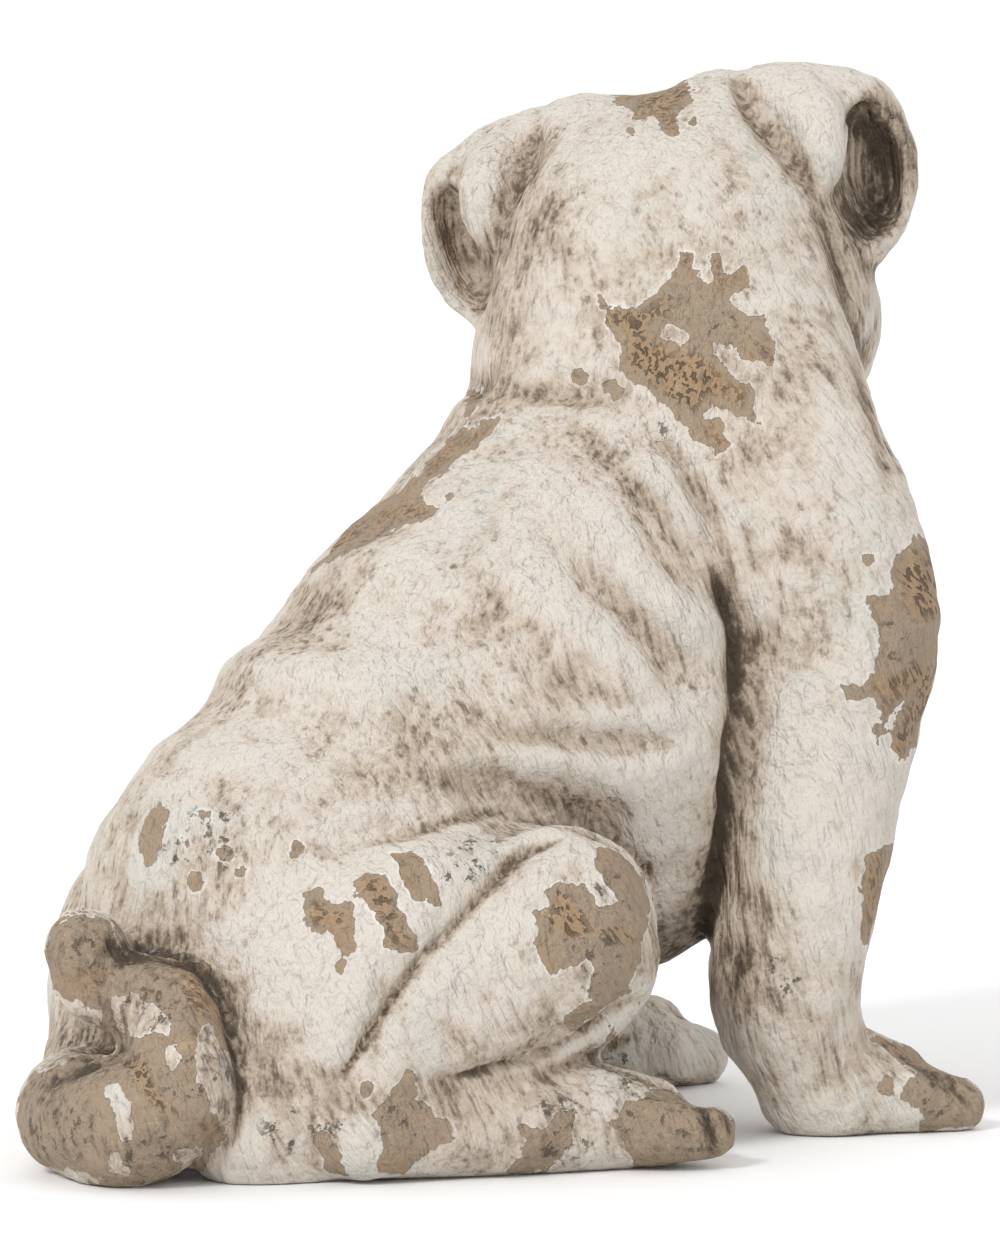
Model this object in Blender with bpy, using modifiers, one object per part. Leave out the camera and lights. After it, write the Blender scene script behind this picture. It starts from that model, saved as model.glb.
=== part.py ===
"""A seated bulldog for the garden, cast in one piece.

The dog sits on its haunches with the hind feet turned out, the forelegs straight and the head turned
to its left and tilted. It faces +X, its left side is +Y, and it stands on Z = 0.

The figure is designed on a grid of 45 units to its height. Every place, radius and fold below is in
those units, and so a share of that height. Rounded forms are blocked out with Blender primitives and made
one skin by voxel Remesh. The skin is then drawn onto a smooth blend of the same forms, with the ears
hollowed and the folds of the hide added.
"""

import math

import bmesh
import bpy
import numpy as np
from mathutils import Euler, Matrix, Vector

# Driving dimension: the ground to the top of the head, in metres
HEIGHT = 0.450

# How finely the skin is made, in units and in triangles
BLOCK_VOXEL = 0.62
SKIN_VOXEL = 0.46
SKIN_TRIANGLES = 9400
BALL_SEGMENTS, BALL_RINGS = 24, 14
BAR_SIDES = 16
PATH_STEPS = 4

# How the skin is drawn onto the blended forms
DRAWING_ROUNDS = 2
DRAWING_STEPS = 5
LONGEST_STEP = 0.6
PROBE = 0.02
GENTLEST_SLOPE = 0.25
NEAR = 2.0
FAR = 1000.0
CUP_BLOCK = 0.9

# How the head sits on the neck: place in units, angles in degrees
HEAD_PLACE = (10.7, 1.3, 36.9)
HEAD_TURN = 40.0
HEAD_NOD = 4.0
HEAD_TILT = -10.5

STONE = (0.74, 0.70, 0.64, 1.0)
STONE_ROUGHNESS = 0.9

RIGHT = -1
LEFT = 1

# How far each forepaw stands ahead and to the left of where it would stand in an even stance
PAW_SHIFT = {RIGHT: (0.0, 0.0), LEFT: (0.9, -2.9)}


def turned(roll=0.0, pitch=0.0, yaw=0.0):
    """A rotation from angles in degrees about X, Y and Z."""
    return np.array(Euler([math.radians(a) for a in (roll, pitch, yaw)], "XYZ").to_matrix())


class Seat:
    """The axes that a group of forms is placed in: the figure's own, or the head's."""

    def __init__(self, place=(0.0, 0.0, 0.0), axes=None):
        self.place = np.array(place, float)
        self.axes = np.eye(3) if axes is None else axes

    def point(self, local):
        return self.place + self.axes @ np.array(local, float)

    def turn(self, local):
        return self.axes @ local


FIGURE = Seat()
HEAD = Seat(HEAD_PLACE, turned(0, 0, HEAD_TURN) @ turned(0, HEAD_NOD, 0) @ turned(HEAD_TILT, 0, 0))


class Mass:
    """A rounded form: an ellipsoid."""

    def __init__(self, centre, radii, turn=(0, 0, 0), blend=2.0, seat=FIGURE):
        self.centre = seat.point(centre)
        self.radii = np.array(radii, float)
        self.axes = seat.turn(turned(*turn))
        self.blend = blend
        self.reach = float(self.radii.max())

    def distance(self, points):
        q = (points - self.centre) @ self.axes
        share = np.linalg.norm(q / self.radii, axis=1)
        steepness = np.linalg.norm(q / self.radii**2, axis=1)
        return share * (share - 1.0) / np.maximum(steepness, 1e-9)

    def block(self, bm, swell=1.0):
        shape = Matrix(self.axes.tolist()).to_4x4() @ Matrix.Diagonal((*(self.radii * swell), 1.0))
        bmesh.ops.create_uvsphere(
            bm, u_segments=BALL_SEGMENTS, v_segments=BALL_RINGS, radius=1.0,
            matrix=Matrix.Translation(self.centre.tolist()) @ shape,
        )


class Limb:
    """A round bar of changing thickness along a smooth path of (x, y, z, radius)."""

    def __init__(self, path, blend=1.5, seat=FIGURE):
        self.path = smooth_path([np.append(seat.point(p[:3]), p[3]) for p in path])
        self.blend = blend
        low, high = self.path[:, :3].min(0), self.path[:, :3].max(0)
        self.centre = (low + high) / 2
        self.reach = float(np.linalg.norm(high - low) / 2 + self.path[:, 3].max())

    def distance(self, points):
        nearest = np.full(len(points), FAR)
        for a, b in zip(self.path[:-1], self.path[1:]):
            along = b[:3] - a[:3]
            t = np.clip(((points - a[:3]) @ along) / (along @ along), 0.0, 1.0)
            away = np.linalg.norm(points - a[:3] - t[:, None] * along, axis=1)
            nearest = np.minimum(nearest, away - (a[3] + t * (b[3] - a[3])))
        return nearest

    def block(self, bm, swell=1.0):
        for a, b in zip(self.path[:-1], self.path[1:]):
            start, end = Vector(a[:3]), Vector(b[:3])
            lie = (end - start).to_track_quat("Z", "Y").to_matrix().to_4x4()
            bmesh.ops.create_cone(
                bm, cap_ends=True, segments=BAR_SIDES, radius1=a[3] * swell, radius2=b[3] * swell,
                depth=(end - start).length, matrix=Matrix.Translation((start + end) / 2) @ lie,
            )
        for x, y, z, radius in self.path:
            bmesh.ops.create_icosphere(
                bm, subdivisions=2, radius=radius * swell, matrix=Matrix.Translation((x, y, z))
            )


class Fold:
    """A ridge (height over 0) or a crease (height under 0) along a path of (x, y, z, strength)."""

    def __init__(self, path, width, height, seat=FIGURE):
        self.path = smooth_path([np.append(seat.point(p[:3]), p[3]) for p in path])
        self.width, self.height = width, height
        low, high = self.path[:, :3].min(0), self.path[:, :3].max(0)
        self.centre = (low + high) / 2
        self.reach = float(np.linalg.norm(high - low) / 2)

    def lift(self, points):
        """How far the skin rises at these points."""
        best = np.full(len(points), FAR)
        strength = np.zeros(len(points))
        for a, b in zip(self.path[:-1], self.path[1:]):
            along = b[:3] - a[:3]
            t = np.clip(((points - a[:3]) @ along) / (along @ along), 0.0, 1.0)
            away = np.linalg.norm(points - a[:3] - t[:, None] * along, axis=1)
            nearer = away < best
            best = np.where(nearer, away, best)
            strength = np.where(nearer, a[3] + t * (b[3] - a[3]), strength)
        return self.height * strength * np.exp(-((best / self.width) ** 2))


def smooth_path(bends):
    """The bends joined by a Catmull-Rom curve."""
    ends = [bends[0] * 2 - bends[1], *bends, bends[-1] * 2 - bends[-2]]
    made = []
    for p0, p1, p2, p3 in zip(ends, ends[1:], ends[2:], ends[3:]):
        for i in range(PATH_STEPS):
            t = i / PATH_STEPS
            made.append(
                0.5 * (2 * p1 + (p2 - p0) * t + (2 * p0 - 5 * p1 + 4 * p2 - p3) * t**2
                       + (3 * p1 - p0 - 3 * p2 + p3) * t**3)
            )
    made.append(bends[-1])
    return np.array(made)


def body_forms():
    """The trunk, neck and chest."""
    return [
        Mass((-12.2, 0.0, 8.4), (7.3, 8.4, 9.1), (0, -18, 0), 3.0),
        Mass((-5.9, 0.0, 13.9), (8.5, 9.5, 8.2), (0, -40, 0), 4.0),
        Mass((0.9, 0.0, 19.4), (10.2, 10.0, 9.1), (0, -48, 0), 4.0),
        Mass((7.4, 0.0, 25.0), (8.4, 9.4, 9.2), (0, -10, 0), 4.0),
        Mass((9.8, 0.0, 32.0), (7.4, 7.5, 7.0), (0, 0, 0), 4.0),
        Mass((10.0, 0.0, 17.6), (6.4, 7.6, 6.8), (0, 0, 0), 3.0),
        Mass((2.2, 0.0, 16.6), (7.6, 9.7, 6.6), (0, -16, 0), 3.0),
        Mass((5.0, 0.0, 12.4), (6.8, 8.4, 6.2), (0, -8, 0), 2.0),
    ]


def hind_leg(side):
    """The haunch, the folded shin and the foot turned out along the ground."""
    s = side
    return [
        Mass((-9.8, 7.2 * s, 8.2), (6.8, 4.8, 6.2), (0, -30, 0), 1.2),
        Mass((-12.8, 6.4 * s, 5.6), (5.2, 4.4, 5.8), (0, 0, 0), 2.4),
        Mass((-15.8, 5.6 * s, 1.9), (3.9, 3.0, 3.4), (0, 0, 0), 2.0),
        Limb([(-8.4, 8.8 * s, 7.4, 4.3), (-5.6, 9.2 * s, 9.4, 4.95), (-5.0, 9.3 * s, 9.1, 4.8)], 0.8),
        Limb([(-5.4, 9.6 * s, 7.4, 3.4), (-8.5, 9.4 * s, 5.6, 3.2), (-13.0, 9.0 * s, 4.2, 2.4)], 0.8),
        Limb(
            [(-14.0, 9.1 * s, 2.2, 2.1), (-9.8, 10.3 * s, 2.0, 2.1), (-4.8, 11.6 * s, 1.9, 2.2),
             (-2.0, 12.3 * s, 1.6, 2.0)], 0.7,
        ),
        *hind_toes(s),
    ]


def hind_toes(s):
    """Four toes across the end of the hind foot."""
    made = []
    for i in range(4):
        across = (i - 1.5) * 1.25
        made.append(
            Limb(
                [(-3.2 + across * 0.1 * s, (11.9 * s) + across, 1.7, 1.3),
                 (-0.4 - abs(across) * 0.25, (12.8 * s) + across * 1.15, 1.5, 1.2)], 0.5,
            )
        )
    return made


def foreleg(side):
    """The shoulder, the straight foreleg and its broad paw."""
    s = side
    ahead, aside = PAW_SHIFT[side]
    toes = []
    for i in range(4):
        across = (i - 1.5) * 1.3
        toes.append(
            Limb(
                [(ahead + 12.0, aside + 9.9 * s + across, 1.5, 1.5),
                 (ahead + 15.5 - abs(across) * 0.4, aside + 10.5 * s + across * 1.1, 1.1, 1.35)], 0.45,
            )
        )
    return [
        Limb(
            [(9.8, 6.0 * s, 30.2, 4.4), (10.2, 8.6 * s, 25.0, 4.5), (10.6, 9.5 * s, 20.5, 4.2)], 2.4,
        ),
        Limb(
            [(10.6, 9.5 * s, 21.5, 4.2), (9.9, 9.6 * s, 17.0, 3.9),
             (ahead * 0.2 + 8.9, aside * 0.1 + 9.5 * s, 12.0, 3.55),
             (ahead * 0.4 + 8.0, aside * 0.3 + 9.4 * s, 7.0, 3.3),
             (ahead * 0.5 + 8.2, aside * 0.5 + 9.4 * s, 5.0, 2.9)], 0.6,
        ),
        Limb(
            [(ahead * 0.5 + 8.3, aside * 0.5 + 9.4 * s, 4.6, 2.75),
             (ahead * 0.8 + 9.3, aside * 0.8 + 9.5 * s, 2.8, 2.6),
             (ahead + 11.2, aside + 9.8 * s, 2.0, 2.35),
             (ahead + 13.2, aside + 10.1 * s, 1.7, 2.0)], 1.0,
        ),
        Mass((ahead + 10.6, aside + 9.7 * s, 1.3), (3.5, 2.7, 2.0), (0, 0, 8 * s), 0.8),
        *toes,
    ]


def head_forms():
    """The skull, muzzle, nose and jaw in the middle, and the cheeks, brows, eyes and lips in pairs."""
    made = [
        Mass((0.0, 0.0, 0.0), (7.4, 8.0, 7.3), (0, 0, 0), 4.0, HEAD),
        Mass((7.8, 0.0, -2.2), (3.6, 3.8, 2.6), (0, 8, 0), 1.6, HEAD),
        Mass((8.4, 0.0, -6.2), (3.2, 3.2, 1.9), (0, -14, 0), 0.8, HEAD),
        Mass((10.9, 0.0, -0.8), (1.3, 1.9, 1.2), (0, 0, 0), 0.4, HEAD),
    ]
    for s in (RIGHT, LEFT):
        made += [
            Mass((2.4, 4.6 * s, -2.8), (4.8, 3.2, 4.4), (0, 0, 0), 2.0, HEAD),
            Mass((5.6, 3.2 * s, 3.0), (2.2, 2.7, 1.5), (14 * s, 0, 0), 1.4, HEAD),
            Mass((8.2, 2.9 * s, -4.2), (3.3, 2.2, 3.6), (10 * s, 0, 0), 0.8, HEAD),
            Mass((6.6, 3.4 * s, 1.2), (1.2, 1.2, 1.1), (0, 0, 0), 0.2, HEAD),
            Mass((5.6, 4.6 * s, -0.6), (2.0, 1.9, 1.1), (16 * s, 0, 0), 1.0, HEAD),
        ]
    return made


def ear(side):
    """The raised root of the ear and the leaf that folds down from it."""
    s = side
    return [
        Limb([(-0.5, 3.6 * s, 5.7, 2.1), (0.0, 6.8 * s, 5.5, 1.8), (0.2, 9.0 * s, 4.7, 1.6)], 1.8, HEAD),
        Mass((0.6, 8.5 * s, 2.1), (3.2, 2.5, 3.85), (-8 * s, 0, 0), 0.8, HEAD),
    ]


def ear_cup(side):
    """The hollow under the folded ear, open to the back."""
    s = side
    return Mass((-2.5, 9.2 * s, 1.8), (3.9, 1.75, 3.2), (-8 * s, 0, 0), 0.4, HEAD)


def ear_flap(side):
    """The rolled edge of the ear, which hangs over the hollow from the skull."""
    s = side
    return Limb(
        [(-0.6, 5.0 * s, 5.4, 1.7), (-1.8, 6.8 * s, 4.7, 1.6), (-2.6, 7.5 * s, 3.5, 1.1),
         (-2.6, 7.4 * s, 2.3, 0.8)], 0.6, HEAD,
    )


def tail():
    """The thick curled tail, lying on the ground behind the rump."""
    return [
        Limb(
            [(-19.6, 2.6, 2.4, 2.4), (-21.5, 0.4, 2.3, 2.4), (-22.0, -3.6, 2.4, 2.7),
             (-20.7, -5.4, 4.2, 2.35), (-20.2, -4.2, 7.1, 1.9), (-20.9, -2.6, 7.5, 1.7),
             (-21.8, -1.4, 7.8, 1.5), (-22.2, -1.3, 9.2, 1.7)], 0.4,
        ),
    ]


def back_folds():
    """Low rolls of the hide across the back."""
    made = []
    for x, z, height in ((-7.4, 23.7, 1.4), (-11.9, 20.0, 1.25), (-15.6, 16.3, 0.55)):
        across = [(x + 2.6, -7.0, z - 0.6, 0.0), (x, 0.0, z, 1.0), (x + 2.6, 7.0, z - 0.6, 0.0)]
        made.append(Fold(across, 1.3, height))
    return made


def flank_folds(s):
    """Where the foreleg parts from the trunk, and the wrinkles that run from the nape to the elbow."""
    return [
        Fold([(3.6, 9.3 * s, 24.0, 0.0), (4.8, 9.6 * s, 22.2, 1.0), (5.6, 9.5 * s, 20.6, 0.0)], 0.6, -0.6),
        Fold([(2.9, 6.9 * s, 29.7, 0.0), (3.8, 8.5 * s, 27.2, 1.0), (4.2, 9.2 * s, 24.6, 0.8)], 0.8, -0.5),
        Fold([(-1.8, 5.6 * s, 27.0, 0.0), (-1.4, 8.2 * s, 24.0, 1.0), (0.6, 9.9 * s, 21.2, 1.0),
              (2.3, 9.9 * s, 18.7, 0.0)], 0.9, -0.55),
        Fold([(1.0, 7.2 * s, 27.6, 0.0), (1.1, 8.9 * s, 24.8, 1.0), (3.0, 9.5 * s, 22.4, 0.0)], 0.6, -0.35),
        Fold([(0.0, 8.6 * s, 24.8, 0.0), (2.0, 9.9 * s, 21.8, 1.0), (4.2, 9.3 * s, 19.0, 0.0)], 0.8, 0.35),
        Fold([(-7.0, 8.9 * s, 17.7, 0.0), (-3.4, 9.8 * s, 17.2, 1.0), (0.0, 9.9 * s, 17.1, 1.0),
              (1.8, 9.6 * s, 17.0, 0.0)], 0.7, -0.45),
    ]


def haunch_folds(s):
    """The deep folds around the bent knee: over the haunch, across the thigh and above the foot."""
    return [
        Fold([(-15.3, 7.0 * s, 13.2, 0.0), (-12.4, 8.5 * s, 14.2, 0.8), (-9.2, 9.2 * s, 15.0, 1.0),
              (-6.6, 9.5 * s, 15.0, 1.0), (-3.6, 9.6 * s, 14.2, 1.0), (-1.0, 8.7 * s, 13.3, 0.8),
              (0.6, 7.8 * s, 11.8, 0.0)], 1.15, -1.1),
        Fold([(-11.9, 7.6 * s, 16.6, 0.0), (-8.0, 9.4 * s, 16.9, 1.0), (-3.0, 9.9 * s, 16.2, 1.0),
              (1.0, 8.8 * s, 14.6, 0.0)], 0.8, 0.4),
        Fold([(-6.3, 11.3 * s, 13.6, 0.0), (-8.9, 11.5 * s, 12.3, 1.0), (-10.8, 11.7 * s, 10.8, 1.0),
              (-12.7, 11.5 * s, 9.4, 1.0), (-14.3, 11.2 * s, 7.6, 1.0),
              (-15.2, 10.8 * s, 6.0, 0.8)], 0.55, -1.0),
        Fold([(-3.2, 13.2 * s, 7.5, 0.0), (-5.1, 13.2 * s, 6.4, 1.0), (-8.1, 12.6 * s, 4.9, 1.0),
              (-11.2, 12.0 * s, 4.3, 0.8), (-13.9, 11.2 * s, 4.2, 0.0)], 0.55, -0.9),
    ]


def toe_creases(side):
    """The three creases between the toes of the forepaw and of the hind foot."""
    s = side
    ahead, aside = PAW_SHIFT[side]
    made = []
    for i in (-1, 0, 1):
        fore, hind = i * 1.3, i * 1.25
        made.append(
            Fold(
                [(ahead + 12.4, aside + 9.9 * s + fore, 3.3, 0.0),
                 (ahead + 14.2, aside + 10.3 * s + fore, 2.6, 1.0),
                 (ahead + 16.0, aside + 10.5 * s + fore * 1.1, 1.7, 1.0),
                 (ahead + 16.4, aside + 10.6 * s + fore * 1.1, 0.3, 1.0)], 0.42, -0.5,
            )
        )
        made.append(
            Fold(
                [(-3.8, 12.0 * s + hind, 3.4, 0.0), (-1.8, 12.5 * s + hind * 1.1, 2.8, 1.0),
                 (0.2, 12.8 * s + hind * 1.15, 2.1, 1.0),
                 (0.6, 12.9 * s + hind * 1.15, 0.4, 1.0)], 0.42, -0.5,
            )
        )
    return made


def neck_folds(s):
    """The fold behind the cheek, and the grooves where the ears spring from the skull."""
    return [
        Fold([(12.5, 6.3 * s, 38.9, 0.0), (13.1, 7.0 * s, 36.3, 1.0), (14.0, 7.6 * s, 33.2, 1.0),
              (13.0, 9.8 * s, 30.0, 0.8), (12.4, 11.8 * s, 27.0, 0.0)], 0.6, -0.5),
        Fold([(0.6, 1.0 * s, 31.3, 0.0), (0.9, 2.4 * s, 31.4, 1.0), (2.2, 5.0 * s, 31.4, 0.8),
              (3.4, 6.8 * s, 30.8, 0.0)], 0.7, -0.55),
    ]


def face_folds():
    """The furrow of the brow, the roll over the nose, the lips and the nostrils, in the head's axes."""
    made = [
        Fold([(7.0, 0.0, 3.0, 0.8), (6.2, 0.0, 4.6, 1.0), (4.0, 0.0, 6.4, 0.3)], 0.6, -0.6, HEAD),
        Fold([(7.0, -3.6, -0.4, 0.3), (8.8, -1.8, 0.6, 1.0), (9.4, 0.0, 0.9, 1.0), (8.8, 1.8, 0.6, 1.0),
              (7.0, 3.6, -0.4, 0.3)], 0.6, 0.45, HEAD),
        Fold([(12.1, 0.0, -1.6, 0.8), (11.6, 0.0, -3.0, 1.0), (11.2, 0.0, -4.6, 0.8)], 0.4, -0.6, HEAD),
    ]
    for s in (RIGHT, LEFT):
        made += [
            Fold([(12.0, 0.8 * s, -0.6, 1.0), (12.0, 1.2 * s, -0.9, 1.0)], 0.35, -0.5, HEAD),
            Fold([(3.6, 2.9 * s, 6.2, 0.4), (1.2, 3.6 * s, 7.2, 1.0), (-1.4, 4.4 * s, 6.2, 1.0),
                  (-3.0, 5.6 * s, 4.4, 0.8), (-3.4, 6.2 * s, 2.4, 0.3)], 0.8, -0.6, HEAD),
        ]
    return made


def folds():
    """Every crease and roll of the hide."""
    made = back_folds() + face_folds()
    for side in (RIGHT, LEFT):
        made += flank_folds(side) + haunch_folds(side) + neck_folds(side) + toe_creases(side)
    return made


def all_forms():
    forms = body_forms()
    for side in (RIGHT, LEFT):
        forms += hind_leg(side)
        forms += foreleg(side)
    forms += head_forms()
    for side in (RIGHT, LEFT):
        forms += ear(side)
    forms += tail()
    return forms


def reached(points, form, blend):
    """Which points lie near enough to a form for it to count."""
    return np.linalg.norm(points - form.centre, axis=1) < form.reach + blend + NEAR


def add_forms(points, skin, forms):
    """Each form joined to the skin with a smooth fillet."""
    for form in forms:
        near = reached(points, form, form.blend)
        if near.any():
            d, other = form.distance(points[near]), skin[near]
            meet = np.maximum(form.blend - np.abs(d - other), 0.0) / form.blend
            skin[near] = np.minimum(d, other) - meet * meet * form.blend / 4


def hollow(points, skin, cups):
    """Each cup taken out of the skin, with a softened rim."""
    for cup in cups:
        near = reached(points, cup, cup.blend)
        if near.any():
            d, other = -cup.distance(points[near]), skin[near]
            meet = np.maximum(cup.blend - np.abs(d - other), 0.0) / cup.blend
            skin[near] = np.maximum(d, other) + meet * meet * cup.blend / 4


def fold(points, skin, creases):
    for crease in creases:
        near = reached(points, crease, crease.width)
        if near.any():
            skin[near] -= crease.lift(points[near])


def field(points, forms, cups, flaps, creases):
    """The distance of each point from the blended skin, negative inside."""
    skin = np.full(len(points), FAR)
    add_forms(points, skin, forms)
    hollow(points, skin, cups)
    add_forms(points, skin, flaps)
    fold(points, skin, creases)
    return skin


def drawn_onto(points, *shape):
    """The points moved along the field's slope until they lie on the blended skin."""
    for _ in range(DRAWING_STEPS):
        here = field(points, *shape)
        ahead = [field(points + step, *shape) - here for step in np.eye(3) * PROBE]
        slope = np.stack(ahead, axis=1) / PROBE
        steep = np.maximum((slope**2).sum(1), GENTLEST_SLOPE)
        points = points - (np.clip(here, -LONGEST_STEP, LONGEST_STEP) / steep)[:, None] * slope
    return points


def coordinates(mesh):
    co = np.empty(len(mesh.vertices) * 3, np.float32)
    mesh.vertices.foreach_get("co", co)
    return co.reshape(-1, 3).astype(float)


def apply_modifiers(obj):
    graph = bpy.context.evaluated_depsgraph_get()
    made = bpy.data.meshes.new_from_object(obj.evaluated_get(graph))
    obj.modifiers.clear()
    obj.data = made


def remesh(obj, voxel):
    modifier = obj.modifiers.new("skin", "REMESH")
    modifier.mode = "VOXEL"
    modifier.voxel_size = voxel
    apply_modifiers(obj)


def thin(obj):
    """Fewer triangles, with most of them left where the form turns."""
    modifier = obj.modifiers.new("thin", "DECIMATE")
    triangles = sum(len(p.vertices) - 2 for p in obj.data.polygons)
    modifier.ratio = min(1.0, SKIN_TRIANGLES / triangles)
    apply_modifiers(obj)


def mesh_object(name, blocks, collection, swell=1.0):
    """One object that holds the primitives of these forms."""
    bm = bmesh.new()
    for form in blocks:
        form.block(bm, swell)
    mesh = bpy.data.meshes.new(name)
    bm.to_mesh(mesh)
    bm.free()
    obj = bpy.data.objects.new(name, mesh)
    collection.objects.link(obj)
    return obj


def cut(obj, cutter):
    modifier = obj.modifiers.new("cut", "BOOLEAN")
    modifier.operation = "DIFFERENCE"
    modifier.solver = "EXACT"
    modifier.object = cutter
    apply_modifiers(obj)
    bpy.data.objects.remove(cutter)


def collection_named(name):
    made = bpy.data.collections.new(name)
    bpy.context.scene.collection.children.link(made)
    return made


def stone():
    material = bpy.data.materials.new("cast_stone")
    material.use_nodes = True
    shader = material.node_tree.nodes["Principled BSDF"]
    shader.inputs["Base Color"].default_value = STONE
    shader.inputs["Roughness"].default_value = STONE_ROUGHNESS
    shader.inputs["Metallic"].default_value = 0.0
    return material


def stand_on_ground(obj):
    """The figure cut off flat at Z = 0, centred over the origin, at its real size."""
    co = coordinates(obj.data)
    reach = np.abs(co).max() * 2
    bpy.ops.mesh.primitive_cube_add(size=1.0)
    below = bpy.context.object
    below.dimensions = (reach * 2, reach * 2, reach)
    below.location = (0, 0, -reach / 2)
    bpy.ops.object.transform_apply(location=True, rotation=True, scale=True)
    cut(obj, below)
    co = coordinates(obj.data)
    low, high = co.min(0), co.max(0)
    middle = (low + high) / 2
    place = Matrix.Scale(HEIGHT / high[2], 4) @ Matrix.Translation((-middle[0], -middle[1], 0.0))
    obj.data.transform(place)


def build():
    for obj in list(bpy.data.objects):
        bpy.data.objects.remove(obj)
    figure = collection_named("dog_garden_statue")
    tools = collection_named("cutters")
    forms = all_forms()
    cups = [ear_cup(side) for side in (RIGHT, LEFT)]
    flaps = [ear_flap(side) for side in (RIGHT, LEFT)]
    dog = mesh_object("dog", forms + flaps, figure)
    remesh(dog, BLOCK_VOXEL)
    cut(dog, mesh_object("ear_cutters", cups, tools, CUP_BLOCK))
    for _ in range(DRAWING_ROUNDS):
        remesh(dog, SKIN_VOXEL)
        moved = drawn_onto(coordinates(dog.data), forms, cups, flaps, folds())
        dog.data.vertices.foreach_set("co", moved.astype(np.float32).ravel())
        dog.data.update()
    thin(dog)
    stand_on_ground(dog)
    dog.data.shade_smooth()
    dog.data.materials.append(stone())


build()
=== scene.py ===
"""Dresses the seated bulldog: a finely carved skin under worn, flaking paint.

The lines of the carving and the outlines of the lost paint are given in the pixels of the photograph, and
laid on the skin as its camera sees it. Lines marked for both sides are laid on the dog's other side too,
from the mirrored camera. The face's lines are given in millimetres. All other sizes are in metres.
"""

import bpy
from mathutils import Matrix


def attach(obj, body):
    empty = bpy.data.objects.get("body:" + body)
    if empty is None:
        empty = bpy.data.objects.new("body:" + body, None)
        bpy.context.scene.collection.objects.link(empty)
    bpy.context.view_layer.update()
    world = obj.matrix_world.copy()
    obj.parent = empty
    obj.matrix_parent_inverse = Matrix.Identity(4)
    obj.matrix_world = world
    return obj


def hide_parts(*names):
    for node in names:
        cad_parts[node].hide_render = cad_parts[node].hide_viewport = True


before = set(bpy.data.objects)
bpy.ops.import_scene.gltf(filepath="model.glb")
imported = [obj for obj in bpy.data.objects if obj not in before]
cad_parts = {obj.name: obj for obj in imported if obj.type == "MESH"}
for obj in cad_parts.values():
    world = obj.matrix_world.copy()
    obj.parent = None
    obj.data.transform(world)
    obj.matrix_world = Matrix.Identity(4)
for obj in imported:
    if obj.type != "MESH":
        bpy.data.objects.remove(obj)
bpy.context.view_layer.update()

import math

import bpy
import numpy as np
from mathutils import Euler, Matrix, Vector, noise
from mathutils.bvhtree import BVHTree

# The photograph's size in pixels, and its camera
PHOTO_WIDTH, PHOTO_HEIGHT = 1000, 1250
FOCAL_PIXELS = 6608
SENSOR = 36.0
CAMERA_PLACE = (-1.6973, -2.1891, 0.3969)
CAMERA_AIM = (0.0131, 0.0, 0.2123)

# The skin's grid, how near the solid's points are to be joined, and how often and by what steps in and out
# the skin is smoothed to lose the solid's facets
SKIN_VOXEL = 0.0028
WELD_DISTANCE = 0.00005
SMOOTHING_ROUNDS = 10
SMOOTHING_STEPS = (0.5, -0.53)

# The casting's unevenness: lumps as (size, height), and the pits' size, depth and threshold. The underside
# stays flat up to FLAT_TO.
LUMPS = ((0.060, 0.0020), (0.026, 0.0013), (0.011, 0.0006))
PIT_SIZE, PIT_DEPTH, PIT_FROM = 0.0045, 0.0005, 0.35
FLAT_TO = 0.002

# The noise of the carving: how fast each finer octave fades and how much finer it is, the octaves of the
# lumps and the lost paint, and the places in the noise that each is taken from
NOISE_FADE, NOISE_STEP = 0.8, 2.1
LUMP_OCTAVES, LOSS_OCTAVES = 2, 3
LUMP_SEED, PIT_SEED, LOSS_SEED = 3.0, 9.0, 21.0

# A vertex counts as seen from a facing of SEEN_FROM, and fully SEEN_OVER above it, where nothing hides it.
# The ray to the eye starts just off the skin. Where a vertex is seen less than HARDLY_SEEN, the pattern of
# lost paint is made up.
SEEN_FROM, SEEN_OVER = 0.02, 0.12
RAY_START, RAY_REACH = 0.0012, 3.0
HARDLY_SEEN = 0.05

# The same for the face, and how far before the head's centre it starts
FACE_FROM, FACE_OVER, FACE_AHEAD = -0.05, 0.3, 0.02
MILLIMETRES = 1000

# How many widths away a line still reaches, and where its curve is sampled between two points
LINE_REACH = 3
CURVE_STEPS = (0.0, 0.33, 0.67)

# Distances in pixels that stand for far away, and how far round an outline it is measured
FAR, FAR_OUTSIDE, OUTLINE_REACH = 1e6, -1e3, 40

# Darker towards the bottom: how dark at the floor, up to what height, and how fast it fades
BOTTOM_DARK, BOTTOM_HEIGHT, BOTTOM_FADE = 0.2, 0.06, 1.5

# The lost paint on the sides that the photograph doesn't show: the size of its patches, and their spread,
# scarcity and absence from the face in pixels
LOSS_SIZE, LOSS_SPREAD, LOSS_SCARCITY, LOSS_OFF_FACE = 0.055, 60, 34, 40

# How deep the skin lies, for the dirt and the painted shade in hollows: rounds of smoothing, the depth that
# counts as full, and the share
HOLLOWS = ((4, 0.00022, 0.25), (30, 0.0012, 0.4), (160, 0.005, 0.25))

# Both sides of the body, or only the side in the photograph
BOTH, SHOWN = True, False
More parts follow.
